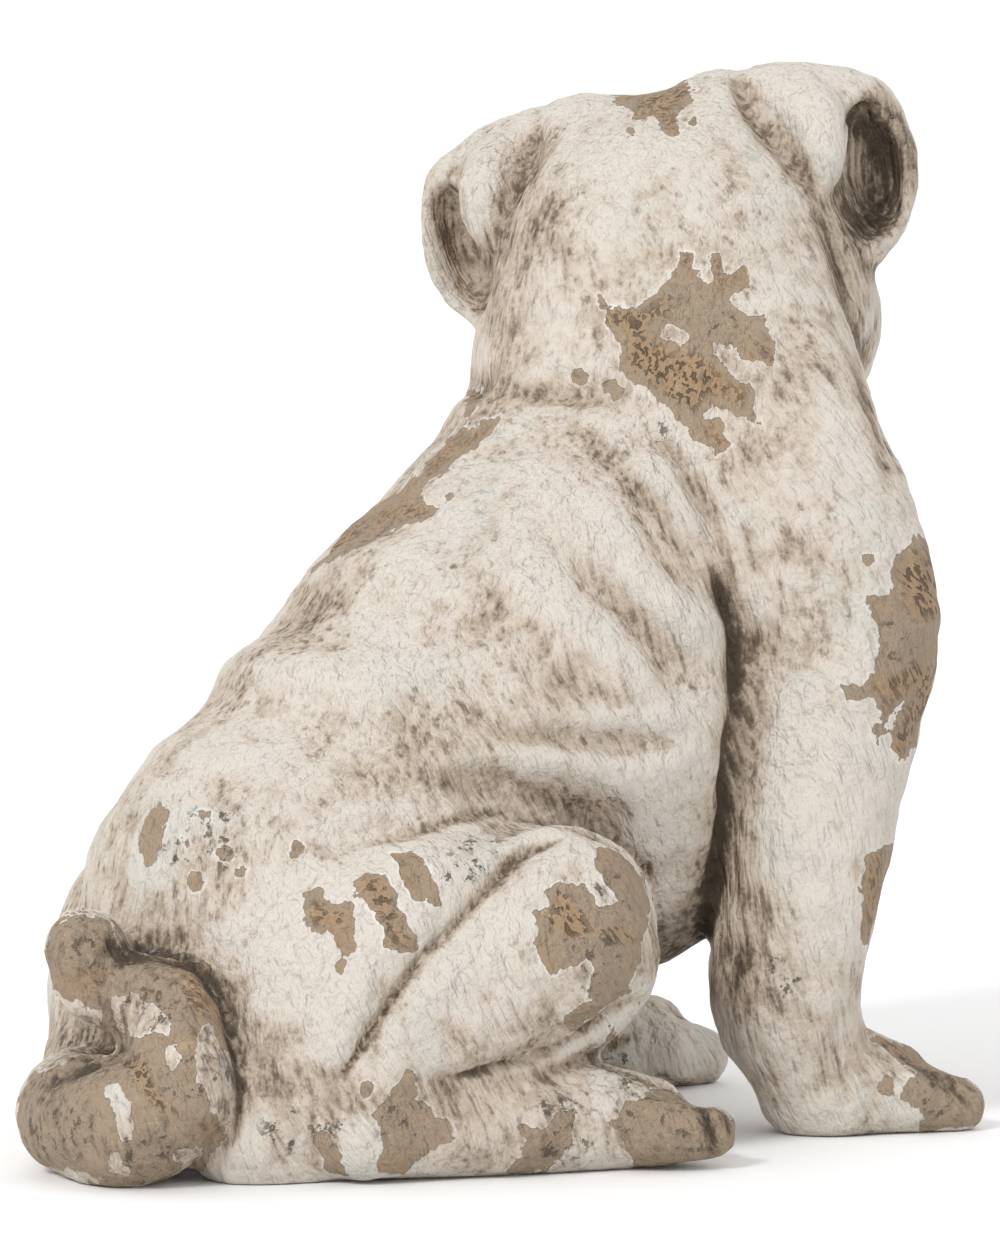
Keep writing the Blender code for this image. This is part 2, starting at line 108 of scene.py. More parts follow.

# Carved lines: points (x, y, strength), width in pixels, height in metres (under 0 is cut in),
# how dark the dirt and painted shade in it are, how wide they run in pixels, and the sides
CARVED = [
    # The darks of these lines are dirt and also painted shade in the grooves, darkest in the foreleg groove,
    # the ear's opening and the gap under the tail's tip
    ("foreleg groove", [(714, 572, 0.3), (722, 598, 0.8), (732, 630, 1), (737, 667, 1), (735, 711, 1),
                        (728, 760, 1), (722, 820, 1), (714, 880, 1), (703, 935, 1)],
     6, -0.0034, 1.2, 10, BOTH),
    ("body over the foreleg groove", [(690, 590, 0.2), (712, 630, 1), (720, 680, 1), (712, 740, 0.8),
                                      (704, 800, 0.2)], 12, 0.0016, 0, 1, BOTH),
    ("wrinkle to the elbow", [(649, 425, 0.2), (674, 454, 1), (696, 483, 0.9), (714, 519, 0.7),
                              (728, 562, 0.3)], 8, -0.0028, 0.3, 11, BOTH),
    ("wrinkle ridge", [(672, 430, 0.1), (706, 470, 1), (724, 520, 0.8), (740, 570, 0.1)],
     11, 0.0016, 0, 1, BOTH),
    ("ridge before it", [(612, 434, 0.1), (653, 472, 1), (681, 500, 1), (706, 540, 0.8), (724, 576, 0.1)],
     12, 0.0022, 0, 1, BOTH),
    ("second wrinkle", [(570, 422, 0.1), (599, 447, 0.7), (624, 476, 1), (656, 512, 1), (681, 548, 1),
                        (706, 584, 0.3)], 11, -0.0028, 0.14, 14, BOTH),
    ("ridge of the second wrinkle", [(560, 478, 0.1), (610, 524, 1), (650, 569, 1), (690, 616, 1),
                                     (710, 652, 0.2)], 15, 0.0026, 0, 1, BOTH),
    ("third wrinkle", [(524, 500, 0.1), (548, 536, 0.9), (577, 566, 1), (617, 603, 1), (656, 645, 0.8),
                       (684, 690, 0.2)], 14, -0.0026, 0.14, 16, BOTH),
    ("ridge of the third wrinkle", [(500, 540, 0.1), (540, 592, 0.8), (586, 634, 1), (630, 676, 0.7),
                                    (660, 710, 0.1)], 18, 0.0018, 0, 1, BOTH),
    ("fourth wrinkle", [(470, 560, 0.1), (510, 620, 0.8), (556, 664, 1), (606, 698, 0.7), (640, 712, 0.1)],
     18, -0.0018, 0.06, 22, BOTH),
    # The band's dark is dirt and painted shade in the valley between the flank and the haunch
    ("dark of the band", [(335, 772, 0.3), (400, 776, 0.8), (460, 785, 1), (520, 797, 1), (570, 808, 1),
                          (613, 833, 0.6)], 10, -0.0008, 0.28, 11, BOTH),
    ("flank crease", [(505, 742, 0.2), (555, 734, 0.8), (600, 742, 1), (650, 745, 1), (694, 741, 0.3)],
     8, -0.0012, 0.22, 12, BOTH),
    ("flank roll", [(520, 716, 0.2), (580, 718, 1), (640, 719, 1), (690, 714, 0.3)], 14, 0.0018, 0, 1, BOTH),
    ("band over the haunch", [(320, 795, 0.2), (378, 778, 0.8), (447, 776, 1), (515, 790, 1), (570, 806, 1),
                              (612, 832, 1), (640, 858, 0.5)], 15, -0.0010, 0.1, 24, BOTH),
    ("roll under the band", [(300, 828, 0.2), (350, 812, 1), (400, 806, 1), (450, 800, 0.4)],
     11, 0.0014, 0, 1, BOTH),
    ("haunch edge", [(350, 849, 0.2), (412, 832, 0.7), (460, 817, 1), (500, 811, 1), (540, 819, 1),
                     (575, 829, 1), (614, 843, 1), (640, 860, 1), (655, 890, 0.8), (660, 930, 0.6)],
     5, -0.0024, 0.6, 4, BOTH),
    ("thigh crease", [(572, 836, 0.3), (545, 845, 0.8), (510, 862, 1), (486, 890, 1), (455, 924, 1),
                      (424, 954, 1), (391, 998, 1), (366, 1040, 1), (338, 1080, 0.8)],
     4, -0.0026, 0.5, 4, BOTH),
    ("knee crease", [(640, 1000, 0.6), (602, 1016, 1), (567, 1041, 1), (533, 1058, 1), (481, 1070, 0.9),
                     (440, 1080, 0.3)], 4, -0.0026, 0.5, 4, BOTH),
    ("shin edge", [(650, 1026, 0.4), (610, 1046, 1), (560, 1068, 1), (500, 1082, 0.4)],
     6, -0.0012, 0.6, 9, BOTH),
    ("heel hollow", [(334, 1096, 0.4), (330, 1120, 1), (338, 1148, 0.6)], 8, -0.0016, 0.4, 9, BOTH),
    ("heel bone", [(366, 1091, 1), (368, 1093, 1)], 9, 0.0018, 0, 1, BOTH),
    ("toe groove", [(650, 1074, 0.4), (672, 1084, 1), (702, 1106, 1), (711, 1130, 1), (712, 1158, 0.8)],
     5, -0.0026, 0.95, 9, BOTH),
    ("second toe groove", [(700, 1094, 0.5), (724, 1110, 1), (733, 1140, 1)], 4, -0.0014, 0.8, 7, BOTH),
    ("nape crease", [(470, 396, 0.3), (500, 393, 1), (545, 394, 1), (590, 399, 0.8), (615, 398, 0.2)],
     7, -0.0012, 0.3, 14, SHOWN),
    ("neck fold", [(820, 211, 0.3), (836, 262, 0.8), (858, 330, 1), (866, 362, 1)],
     8, -0.0016, 0.55, 12, SHOWN),
    ("neck edge", [(846, 330, 0.2), (862, 395, 1), (881, 438, 1), (890, 486, 0.4)],
     6, -0.0014, 0.8, 10, SHOWN),
    ("right ear root", [(738, 86, 0.4), (746, 118, 1), (772, 144, 1), (800, 174, 1), (816, 182, 0.6)],
     8, -0.0022, 0.5, 15, SHOWN),
    ("left ear root", [(578, 106, 0.3), (556, 140, 0.8), (535, 178, 1), (516, 218, 1), (500, 256, 0.7)],
     9, -0.0018, 0.3, 18, SHOWN),
    ("right ear's opening", [(856, 128, 0.7), (864, 112, 1), (884, 106, 1), (898, 116, 0.7)],
     12, -0.0050, 0.9, 14, SHOWN),
    ("cheek groove", [(812, 190, 0.6), (826, 226, 1), (842, 270, 1), (860, 300, 0.4)],
     7, -0.0016, 0.8, 12, SHOWN),
    ("forepaw groove", [(896, 1058, 0.3), (930, 1072, 1), (956, 1092, 1), (974, 1112, 0.8)],
     5, -0.0016, 0.8, 8, SHOWN),
    ("second forepaw groove", [(930, 1056, 0.3), (955, 1068, 1), (974, 1088, 0.8)],
     4, -0.0012, 0.7, 7, SHOWN),
    ("elbow tendon", [(712, 900, 0.3), (716, 950, 1), (722, 1000, 1), (740, 1034, 0.6)],
     8, 0.0014, 0.0, 1, SHOWN),
    ("leg shadow", [(735, 900, 0.4), (736, 960, 1), (745, 1010, 0.6)], 12, -0.0008, 0.55, 26, SHOWN),
    ("tail root", [(122, 948, 0.3), (150, 952, 1), (198, 966, 1), (226, 1004, 1), (238, 1060, 1),
                   (240, 1110, 1), (230, 1140, 0.6)], 6, -0.0020, 0.95, 7, SHOWN),
    ("gap under the tail's tip", [(112, 944, 1), (124, 955, 1), (146, 958, 0.6)], 6, -0.0016, 1.0, 8, SHOWN),
    ("crease in the tail's curl", [(40, 1088, 0.2), (60, 1078, 0.7), (88, 1064, 1), (104, 1052, 1),
                                   (122, 1046, 0.4)], 6, -0.0022, 0.9, 6, SHOWN),
    ("tail's inner curl", [(104, 1052, 0.5), (140, 1060, 0.7), (180, 1070, 0.8), (192, 1090, 0.5)],
     8, -0.0010, 0.3, 8, SHOWN),
    ("dark streak on the tail", [(196, 968, 0.6), (208, 985, 1), (216, 1004, 0.7)],
     5, -0.0006, 0.9, 7, SHOWN),
    ("fissure over the toes", [(590, 1062, 0.3), (612, 1068, 1), (640, 1080, 1), (664, 1084, 0.6)],
     5, -0.0022, 0.9, 6, BOTH),
    ("heel groove", [(316, 1102, 0.3), (311, 1130, 1), (318, 1160, 0.7)], 6, -0.0018, 0.5, 6, BOTH),
]

# The head: its centre, and its turn, nod and tilt in degrees
HEAD_PLACE = (0.1192, 0.0129, 0.3661)
HEAD_TURN, HEAD_NOD, HEAD_TILT = 40.0, 4.0, -10.5

# The face's lines as seen from straight ahead of it: points (to the left, up, strength) in millimetres from
# the head's centre, width in millimetres, height in metres, how dark the dirt and painted shade in it are,
# how wide they run, and whether the line has its mirror image beside it
FACE = [
    ("upper lid", [(20, 9, 0.6), (26, 18, 1), (35, 22, 1), (45, 16, 1), (50, 7, 0.5)],
     2.2, -0.0012, 0.9, 2.6, True),
    ("lower lid", [(22, 6, 0.6), (30, 1, 1), (39, 1, 1), (48, 7, 0.6)], 2.2, -0.0010, 0.8, 2.4, True),
    ("pupil", [(34, 11, 1), (36, 11, 1)], 4.0, -0.0014, 1.0, 5.5, True),
    ("nostril", [(8, -8, 1), (12, -9, 1)], 2.6, -0.0020, 1.0, 3.2, True),
    ("under the nose", [(-20, -6, 0.5), (-14, -17, 1), (0, -21, 1), (14, -17, 1), (20, -6, 0.5)],
     2.4, -0.0014, 0.8, 3.0, False),
    ("lip furrow", [(0, -22, 1), (0, -34, 1), (0, -47, 1)], 2.2, -0.0016, 0.8, 3.0, False),
    ("lips", [(0, -47, 1), (14, -55, 1), (30, -60, 1), (44, -56, 1), (52, -66, 0.5)],
     3.0, -0.0022, 0.85, 4.0, True),
    ("cheek fold", [(16, 14, 0.3), (26, -6, 0.9), (42, -16, 1), (54, -32, 0.8), (58, -48, 0.3)],
     3.4, -0.0016, 0.5, 5.0, True),
    ("roll over the nose", [(-24, 0, 0.4), (-10, 8, 1), (0, 10, 1), (10, 8, 1), (24, 0, 0.4)],
     3.0, -0.0014, 0.5, 4.0, False),
    ("brow furrow", [(0, 18, 0.6), (0, 36, 1), (0, 56, 0.4)], 3.0, -0.0014, 0.5, 5.0, False),
    ("brow fold", [(10, 26, 0.4), (26, 34, 1), (44, 32, 1), (56, 20, 0.5)], 3.0, -0.0010, 0.4, 5.0, True),
]

# Soft stains on the paint, some of them painted shade (behind the foreleg, under the belly, on the cheek and
# in the ears): points (x, y, strength), width in pixels, and the sides
STAINS_AND_SHADE = [
    ("beside the left ear", [(560, 120, 0.5), (530, 180, 1), (508, 250, 1), (506, 330, 0.7), (520, 390, 0.5)],
     28, 0.32, SHOWN),
    ("crown", [(600, 110, 0.6), (660, 120, 1), (700, 130, 0.5)], 30, 0.2, SHOWN),
    ("wrinkles by the nape", [(560, 420, 0.6), (590, 470, 1), (630, 540, 1), (680, 610, 0.8)], 42, 0.3, BOTH),
    ("back above the rolls", [(480, 410, 1), (420, 480, 1), (360, 540, 1), (310, 590, 0.8)], 36, 0.24, BOTH),
    ("first roll", [(300, 600, 1), (270, 640, 1)], 34, 0.2, BOTH),
    ("second roll", [(240, 680, 1), (200, 710, 1), (170, 750, 0.8)], 34, 0.22, BOTH),
    ("rump", [(120, 830, 1), (90, 890, 1), (130, 920, 0.8)], 46, 0.24, BOTH),
    ("above the band", [(300, 790, 0.7), (380, 760, 0.8), (470, 750, 0.6)], 30, 0.16, BOTH),
    ("under the band", [(300, 820, 0.8), (250, 800, 0.5)], 40, 0.18, BOTH),
    # dirt and painted shade behind the foreleg, where the body shades it
    ("dirt and painted shade behind the foreleg", [(716, 650, 0.4), (712, 740, 0.8), (700, 860, 1), (676, 940, 1)], 16, 0.5, BOTH),
    # painted shade under the belly, between the foreleg and the trunk
    ("painted shade under the belly", [(664, 955, 1), (690, 985, 1)], 30, 1.1, BOTH),
    ("ribs", [(380, 570, 0.8), (470, 600, 1), (540, 660, 1), (600, 700, 0.8)], 70, 0.17, BOTH),
    ("shoulder", [(760, 470, 0.6), (800, 540, 1), (840, 620, 0.8)], 70, 0.17, BOTH),
    ("neck", [(560, 200, 1), (600, 240, 1), (660, 200, 1), (700, 180, 1), (800, 330, 1)], 80, 0.22, BOTH),
    ("clean foreleg", [(800, 690, 0.8), (800, 780, 1), (810, 870, 1)], 36, -0.3, BOTH),
    # dirt and painted shade in the thigh's crease
    ("crease of the thigh", [(560, 842, 0.6), (510, 868, 1), (455, 930, 1), (391, 1004, 1), (345, 1076, 1)],
     3, 0.5, BOTH),
    ("clean haunch", [(290, 930, 1), (320, 1000, 1), (400, 900, 0.8)], 46, -0.32, BOTH),
    ("clean thigh", [(500, 930, 1), (450, 1000, 1), (480, 1030, 0.6)], 36, -0.26, BOTH),
    ("clean back", [(300, 680, 0.6), (400, 640, 1), (420, 600, 0.6)], 40, -0.16, BOTH),
    ("clean side", [(600, 770, 0.8), (660, 790, 1), (690, 700, 0.8)], 22, -0.14, BOTH),
    ("right ear's rim", [(903, 112, 0.8), (911, 150, 1), (909, 190, 1), (896, 226, 0.8)], 9, 0.7, SHOWN),
    # dirt and painted shade on the foreleg's inner edge beside the body
    ("edge of the foreleg", [(755, 640, 0.7), (752, 760, 1), (745, 900, 1), (742, 990, 1)], 16, 0.42, SHOWN),
    ("foreleg", [(770, 930, 0.6), (780, 1000, 1), (790, 1060, 0.8)], 36, 0.25, SHOWN),
    ("foot", [(350, 1120, 0.8), (450, 1130, 1), (560, 1130, 1), (700, 1125, 1)], 46, 0.56, BOTH),
    ("shin", [(480, 1050, 0.8), (560, 1015, 1), (620, 985, 1)], 30, 0.34, BOTH),
    ("thigh", [(520, 890, 0.5), (580, 880, 0.8), (620, 940, 0.8)], 40, 0.16, BOTH),
    ("by the tail", [(240, 1000, 0.6), (270, 1080, 1), (280, 1140, 1)], 34, 0.5, SHOWN),
    ("tail", [(70, 950, 1), (100, 1010, 1), (60, 1100, 1), (130, 1150, 1), (200, 1100, 1), (200, 1010, 1),
              (150, 975, 1)], 40, 0.5, SHOWN),
    ("tail's tip", [(62, 945, 0.8), (85, 962, 1), (105, 945, 0.8)], 20, 0.55, SHOWN),
    ("tail's arch", [(160, 975, 0.6), (200, 1000, 1), (222, 1060, 1), (215, 1120, 0.8)], 11, 0.5, SHOWN),
    ("tail's root", [(90, 1062, 1), (60, 1075, 1), (40, 1120, 0.6)], 11, 0.5, SHOWN),
    ("top of the tail's tip", [(84, 920, 0.8), (108, 930, 1), (116, 960, 0.7)], 10, 0.6, SHOWN),
    ("rough rump", [(200, 850, 1), (230, 880, 1), (210, 905, 0.6)], 26, 0.2, SHOWN),
    ("mottled flank", [(330, 700, 1), (400, 715, 0.8), (450, 700, 0.5)], 34, 0.16, BOTH),
    ("neck edge", [(850, 290, 0.6), (862, 380, 1), (885, 450, 0.8), (905, 520, 0.5)], 26, 0.3, SHOWN),
    # painted shade on the cheek under the right ear's flap
    ("cheek", [(838, 190, 1), (852, 230, 1), (862, 265, 0.6)], 18, 0.7, SHOWN),
    # painted shade in the ears' hollows
    ("painted shade in the right ear's hollow", [(872, 108, 0.8), (884, 140, 1), (890, 180, 1), (878, 212, 0.8)], 30, 0.97, SHOWN),
    ("painted shade in the left ear's hollow", [(442, 206, 1), (458, 240, 1), (472, 288, 0.8)], 20, 0.36, SHOWN),
]

# Where the paint is gone: outlines in pixels
LOST_PAINT = [
    [(599, 296), (610, 311), (641, 305), (656, 291), (670, 277), (682, 268), (679, 253), (691, 254),
     (694, 271), (712, 286), (714, 268), (706, 256), (720, 254), (726, 278), (743, 266), (751, 286),
     (730, 299), (743, 312), (763, 320), (777, 358), (775, 368), (757, 361), (750, 380), (755, 407),
     (760, 427), (746, 421), (731, 409), (713, 406), (706, 416), (722, 420), (730, 447), (716, 458),
     (708, 444), (691, 435), (682, 418), (664, 406), (651, 395), (633, 380), (621, 372), (619, 338),
     (604, 322)],
    [(612, 95), (651, 81), (691, 80), (694, 98), (676, 113), (679, 135), (667, 132), (654, 116),
     (639, 121), (633, 112), (615, 103)],
    [(467, 392), (478, 388), (480, 402), (468, 416)],
    [(300, 572), (335, 530), (380, 500), (417, 474), (450, 436), (502, 415), (487, 438), (460, 460),
     (450, 471), (428, 482), (417, 497), (438, 508), (454, 497), (436, 519), (402, 527), (380, 538),
     (335, 554)],
    [(913, 538), (935, 552), (950, 600), (950, 656), (940, 700), (920, 745), (898, 760), (889, 745),
     (898, 715), (909, 697), (890, 715), (876, 748), (872, 730), (880, 711), (872, 697), (850, 700),
     (839, 682), (861, 686), (876, 671), (880, 634), (863, 597), (880, 597), (892, 589), (892, 560)],
    [(868, 850), (890, 845), (884, 880), (878, 930), (868, 960), (860, 930), (860, 880)],
    [(868, 1038), (888, 1040), (944, 1050), (975, 1078), (990, 1104), (982, 1125), (919, 1134),
     (921, 1115), (904, 1104), (901, 1089), (916, 1074), (896, 1059)],
    [(596, 850), (619, 854), (643, 874), (653, 902), (650, 926), (634, 967), (629, 995), (605, 1005),
     (588, 1019), (568, 1033), (566, 1018), (586, 995), (590, 962), (570, 966), (550, 974), (538, 953),
     (538, 933), (533, 912), (548, 905), (545, 890), (560, 885), (590, 890), (598, 905), (618, 905),
     (612, 892), (594, 870)],
    [(304, 898), (321, 891), (331, 905), (357, 898), (354, 933), (355, 947), (343, 964), (340, 978),
     (335, 971), (341, 957), (336, 936), (309, 929)],
    [(355, 885), (367, 874), (385, 876), (395, 888), (397, 909), (405, 919), (419, 940), (412, 953),
     (388, 947), (379, 919), (360, 895)],
    [(391, 854), (412, 854), (433, 871), (443, 895), (440, 912), (428, 898), (412, 898), (402, 878)],
    [(374, 1112), (388, 1095), (409, 1070), (417, 1070), (419, 1101), (447, 1119), (453, 1136),
     (433, 1153), (405, 1172), (378, 1172), (385, 1146)],
    [(312, 1125), (330, 1132), (340, 1156), (354, 1176), (325, 1174)],
    [(515, 1122), (540, 1129), (574, 1108), (571, 1139), (550, 1172), (508, 1172), (526, 1143)],
    [(612, 1122), (619, 1108), (670, 1086), (701, 1096), (735, 1122), (742, 1158), (708, 1168),
     (636, 1170), (626, 1146)],
    [(607, 1024), (617, 1022), (615, 1048), (608, 1053)],
    [(160, 800), (171, 812), (165, 845), (150, 866), (139, 850), (143, 825)],
    [(22, 1190), (20, 1100), (34, 1075), (56, 1066), (84, 1060), (100, 1040), (84, 1022), (58, 1000),
     (44, 960), (52, 925), (80, 912), (108, 918), (120, 945), (140, 950), (175, 952), (205, 965),
     (222, 1000), (228, 1040), (228, 1100), (222, 1140), (205, 1165), (180, 1185)],
]

# Small round losses: (x, y, radius) in pixels
LOST_SPOTS = [
    (578, 377, 8), (613, 388, 9), (630, 132, 4), (694, 122, 3), (870, 561, 6), (887, 1085, 9), (366, 1091, 8),
    (226, 856, 8), (206, 818, 5), (213, 829, 4), (297, 850, 5), (196, 880, 9), (690, 1104, 6), (240, 872, 5),
    (188, 842, 4),
]

# Where the paint is cracked and pitted: (x, y, radius) in pixels
PITTED = [
    (478, 862, 34), (440, 868, 22), (215, 835, 34), (178, 850, 20), (722, 330, 26), (690, 300, 14),
    (660, 430, 16), (400, 1120, 34), (330, 1130, 22), (560, 1130, 40), (640, 1110, 36), (690, 1130, 30),
    (620, 1060, 26), (150, 1010, 40), (90, 1050, 34), (190, 1080, 34), (280, 1130, 30), (90, 940, 34),
    (60, 1130, 44), (150, 1150, 44), (612, 900, 26), (590, 960, 30), (860, 240, 24), (940, 1095, 30),
    (780, 980, 24), (900, 640, 30),
]

# Where paint is left inside those losses: outlines in pixels
KEPT_PAINT = [
    [(46, 984), (60, 992), (84, 1006), (104, 1010), (96, 1034), (84, 1030), (63, 1015), (50, 1000)],
    [(112, 1000), (130, 992), (150, 1004), (168, 1010), (170, 1036), (150, 1032), (138, 1040),
     (120, 1030)],
    [(197, 1032), (210, 1024), (224, 1060), (230, 1100), (220, 1134), (208, 1104), (200, 1080),
     (194, 1056)],
    [(168, 1046), (178, 1044), (184, 1056), (178, 1072), (168, 1064)],
    [(104, 1088), (118, 1084), (128, 1100), (130, 1124), (134, 1142), (120, 1140), (112, 1116)],
    [(107, 1158), (116, 1154), (134, 1168), (130, 1178), (108, 1174)],
    [(172, 1148), (186, 1150), (198, 1144), (200, 1156), (184, 1166), (174, 1160)],
    [(30, 1168), (80, 1174), (100, 1182), (70, 1194), (36, 1188)],
    [(716, 345), (735, 350), (756, 368), (768, 388), (750, 386), (730, 374), (718, 360)],
    [(656, 330), (670, 325), (692, 331), (694, 342), (676, 345), (660, 339)],
]

# Colours, linear
PAINT = (0.605, 0.552, 0.492)
PAINT_COOL = (0.535, 0.54, 0.49)
PAINT_WARM = (0.495, 0.403, 0.315)
BODY = (0.335, 0.222, 0.13)
BODY_PALE = (0.315, 0.243, 0.173)
BODY_BRIGHT = (0.47, 0.345, 0.225)
# The two dirt colours also paint the shade in creases and hollows.
DIRT_AND_SHADE = (0.255, 0.195, 0.14)
DARK_DIRT_AND_SHADE = (0.06, 0.042, 0.028)
FRESH_EDGE = (0.80, 0.77, 0.72)
FLOOR = (0.92, 0.92, 0.92)
FLOOR_SIZE, FLOOR_DROP, FLOOR_ROUGHNESS = 80.0, 0.0004, 0.9

# The finish's patterns: size in metres, octaves of detail, roughness and twist. Strokes also have how much
# longer than wide they are, and their lean from upright in degrees.
PATTERNS = {
    "hair": (0.0030, 2.5, 0.5, 0.0, (9.0, -20.0)),
    "tufts": (0.0062, 3.0, 0.52, 0.1, (4.5, -24.0)),
    "gouges": (0.0024, 1.5, 0.5, 0.3, (3.4, -48.0)),
    "grain": (0.0020, 3.0, 0.65, 0.0),
    "crumbs": (0.0055, 4.0, 0.7, 0.2),
    "ragged": (0.0075, 3.0, 0.55, 0.0),
    "scales": (0.013, 4.0, 0.6, 0.5),
    "waves": (0.014, 4.0, 0.55, 0.1),
    "brown clouds": (0.028, 3.0, 0.6, 0.0),
    "patches": (0.030, 5.0, 0.6, 0.3),
    "cool clouds": (0.05, 3.0, 0.55, 0.4),
    "clouds": (0.095, 3.0, 0.55, 0.3),
}

# How the strokes bend and how the cracks waver: (size, how far). The cracks' cells, their length and lean,
# and the cracks' width as a share of a cell.
BEND, WAVER = (0.09, 0.03), (0.011, 0.006)
CRACK_CELL, CRACK_RUN, CRACK_WIDTH = 0.0085, (3.4, -26.0), 0.09

# Sums of the patterns and of what is marked on the vertices, each with its share. The level holds the dirt
# together with the painted shade of creases and hollows.
SUMS = {
    "level": {"dirt_and_shade": 0.9, "hollow": 0.3, "patches": 1.2, "clouds": 1.5, "everywhere": 0.07},
    "texture": {"hair": 1.3, "tufts": 0.75, "grain": 0.6},
    "brown": {"brown clouds": 1.0, "crumbs": 0.5},
}

# What each effect grows with, and where on that scale it starts and is full. Those that hang on the lost
# paint are in pixels of the photograph.
EFFECTS = {
    "bare": ({"lost": 1.0, "ragged": 24.0}, -0.4, 0.4),
    "chipped": ({"lost": 1.0, "ragged": 24.0}, -5.0, -0.4),
    "core": ({"lost": 1.0, "patches": 40.0, "pitted": -55.0}, 0.0, 18.0),
    "patchy": ({"patches": 1.0}, -0.1, 0.12),
    "broken": ({"crumbs": 1.0, "patches": 0.8, "dirt_and_shade": 0.35, "pitted": 0.2}, 0.18, 0.42),
    "eroded": ({"pitted": 1.0, "patches": 1.2}, 0.25, 0.7),
    "crumbled": ({"crumbs": 1.0}, 0.07, 0.13),
    "covered": ({"crumbs": 1.0}, -0.2, -0.05),
    "scaly": ({"scales": 1.0}, 0.03, 0.05),
    "gouged": ({"gouges": 1.0}, 0.03, 0.09),
    "cool": ({"cool clouds": 1.0, "pitted": 0.1}, 0.0, 0.16),
    "grimy and shaded": ({"level": 1.0}, 0.0, 0.3),
    "tint": ({"level": 1.0, "texture": 0.4}, -0.16, 0.5),
    "wash and shade": ({"level": 1.0, "texture": 1.1}, 0.1, 1.0),
    "marks and shade": ({"level": 1.0, "texture": 2.1}, 0.42, 1.2),
    "deep": ({"level": 1.0, "texture": 1.0}, 0.7, 1.35),
    "body dirt": ({"texture": 1.0, "crumbs": 1.0}, 0.05, 0.45),
    "body dark": ({"level": 1.0, "texture": 1.2}, 0.36, 1.2),
}

# How pale the brown body is, and how strongly it crumbles
PALE = {"brown": 2.5, "pitted": 0.6, "core": -1.0, "everywhere": 0.9}
CRUMBLING = {"bare": 0.8, "eroded": 0.5}

# The colours laid over the paint and over the bare body, first to last: (effect, how far it covers, colour).
# The layers that grow with the level paint the shade in creases and hollows as well as dirt.
PAINT_LAYERS = (
    ("cool", 0.5, PAINT_COOL),
    ("tint", 0.8, PAINT_WARM),
    ("flakes", 0.3, BODY_PALE),
    ("wash and shade", 0.85, DIRT_AND_SHADE),
    ("marks and shade", 0.5, DARK_DIRT_AND_SHADE),
    ("cracks", 0.55, DARK_DIRT_AND_SHADE),
    ("pits", 0.75, DARK_DIRT_AND_SHADE),
    ("rim", 0.5, FRESH_EDGE),
    ("deep", 0.9, DARK_DIRT_AND_SHADE),
)
BODY_LAYERS = (
    ("pale", 1.0, BODY_PALE),
    ("bright", 0.45, BODY_BRIGHT),
    ("body dirt", 0.8, DIRT_AND_SHADE),
    ("body dark", 0.7, DARK_DIRT_AND_SHADE),
    ("dents", 0.75, DARK_DIRT_AND_SHADE),
    ("pits", 0.6, DARK_DIRT_AND_SHADE),
    ("deep", 0.8, DARK_DIRT_AND_SHADE),
)

# The height in metres of each part of the surface relief
RELIEF = {
    "waves": 0.0052, "tufts": 0.0050, "hair": 0.0020, "grain": 0.0006, "bare": -0.0008, "crumbling": 0.0022,
    "bare dents": -0.0016, "pits": -0.0009,
}
PAINT_ROUGHNESS, BODY_ROUGHNESS, GLOSS = 0.82, 0.7, 0.3

# The studio: the strength of the light all around and of the key light, and which way the key light travels
# along the camera's forward, right and up directions
AMBIENT, KEY, KEY_SPREAD = 1.01, 1.35, 10.0
KEY_TRAVEL = (0.82, 0.50, -0.66)


def camera_axes():
    """The photograph's camera: its place, and its forward, right and up directions."""
    place = np.array(CAMERA_PLACE)
    forward = np.array(CAMERA_AIM) - place
    forward /= np.linalg.norm(forward)
    right = np.cross(forward, (0, 0, 1))
    right /= np.linalg.norm(right)
    return place, forward, right, np.cross(right, forward)


def photo_pixels(points):
    """Where points in space land on the photograph."""
    place, forward, right, up = camera_axes()
    away = points - place
    depth = away @ forward
    x = PHOTO_WIDTH / 2 + FOCAL_PIXELS * (away @ right) / depth
    y = PHOTO_HEIGHT / 2 - FOCAL_PIXELS * (away @ up) / depth
    return np.stack([x, y], axis=1)


def vertex_array(mesh, name="co"):
    values = np.empty(len(mesh.vertices) * 3, np.float32)
    if name == "co":
        mesh.vertices.foreach_get("co", values)
    else:
        mesh.vertex_normals.foreach_get("vector", values)
    return values.reshape(-1, 3).astype(float)


def put_vertices(mesh, points):
    mesh.vertices.foreach_set("co", points.astype(np.float32).ravel())
    mesh.update()


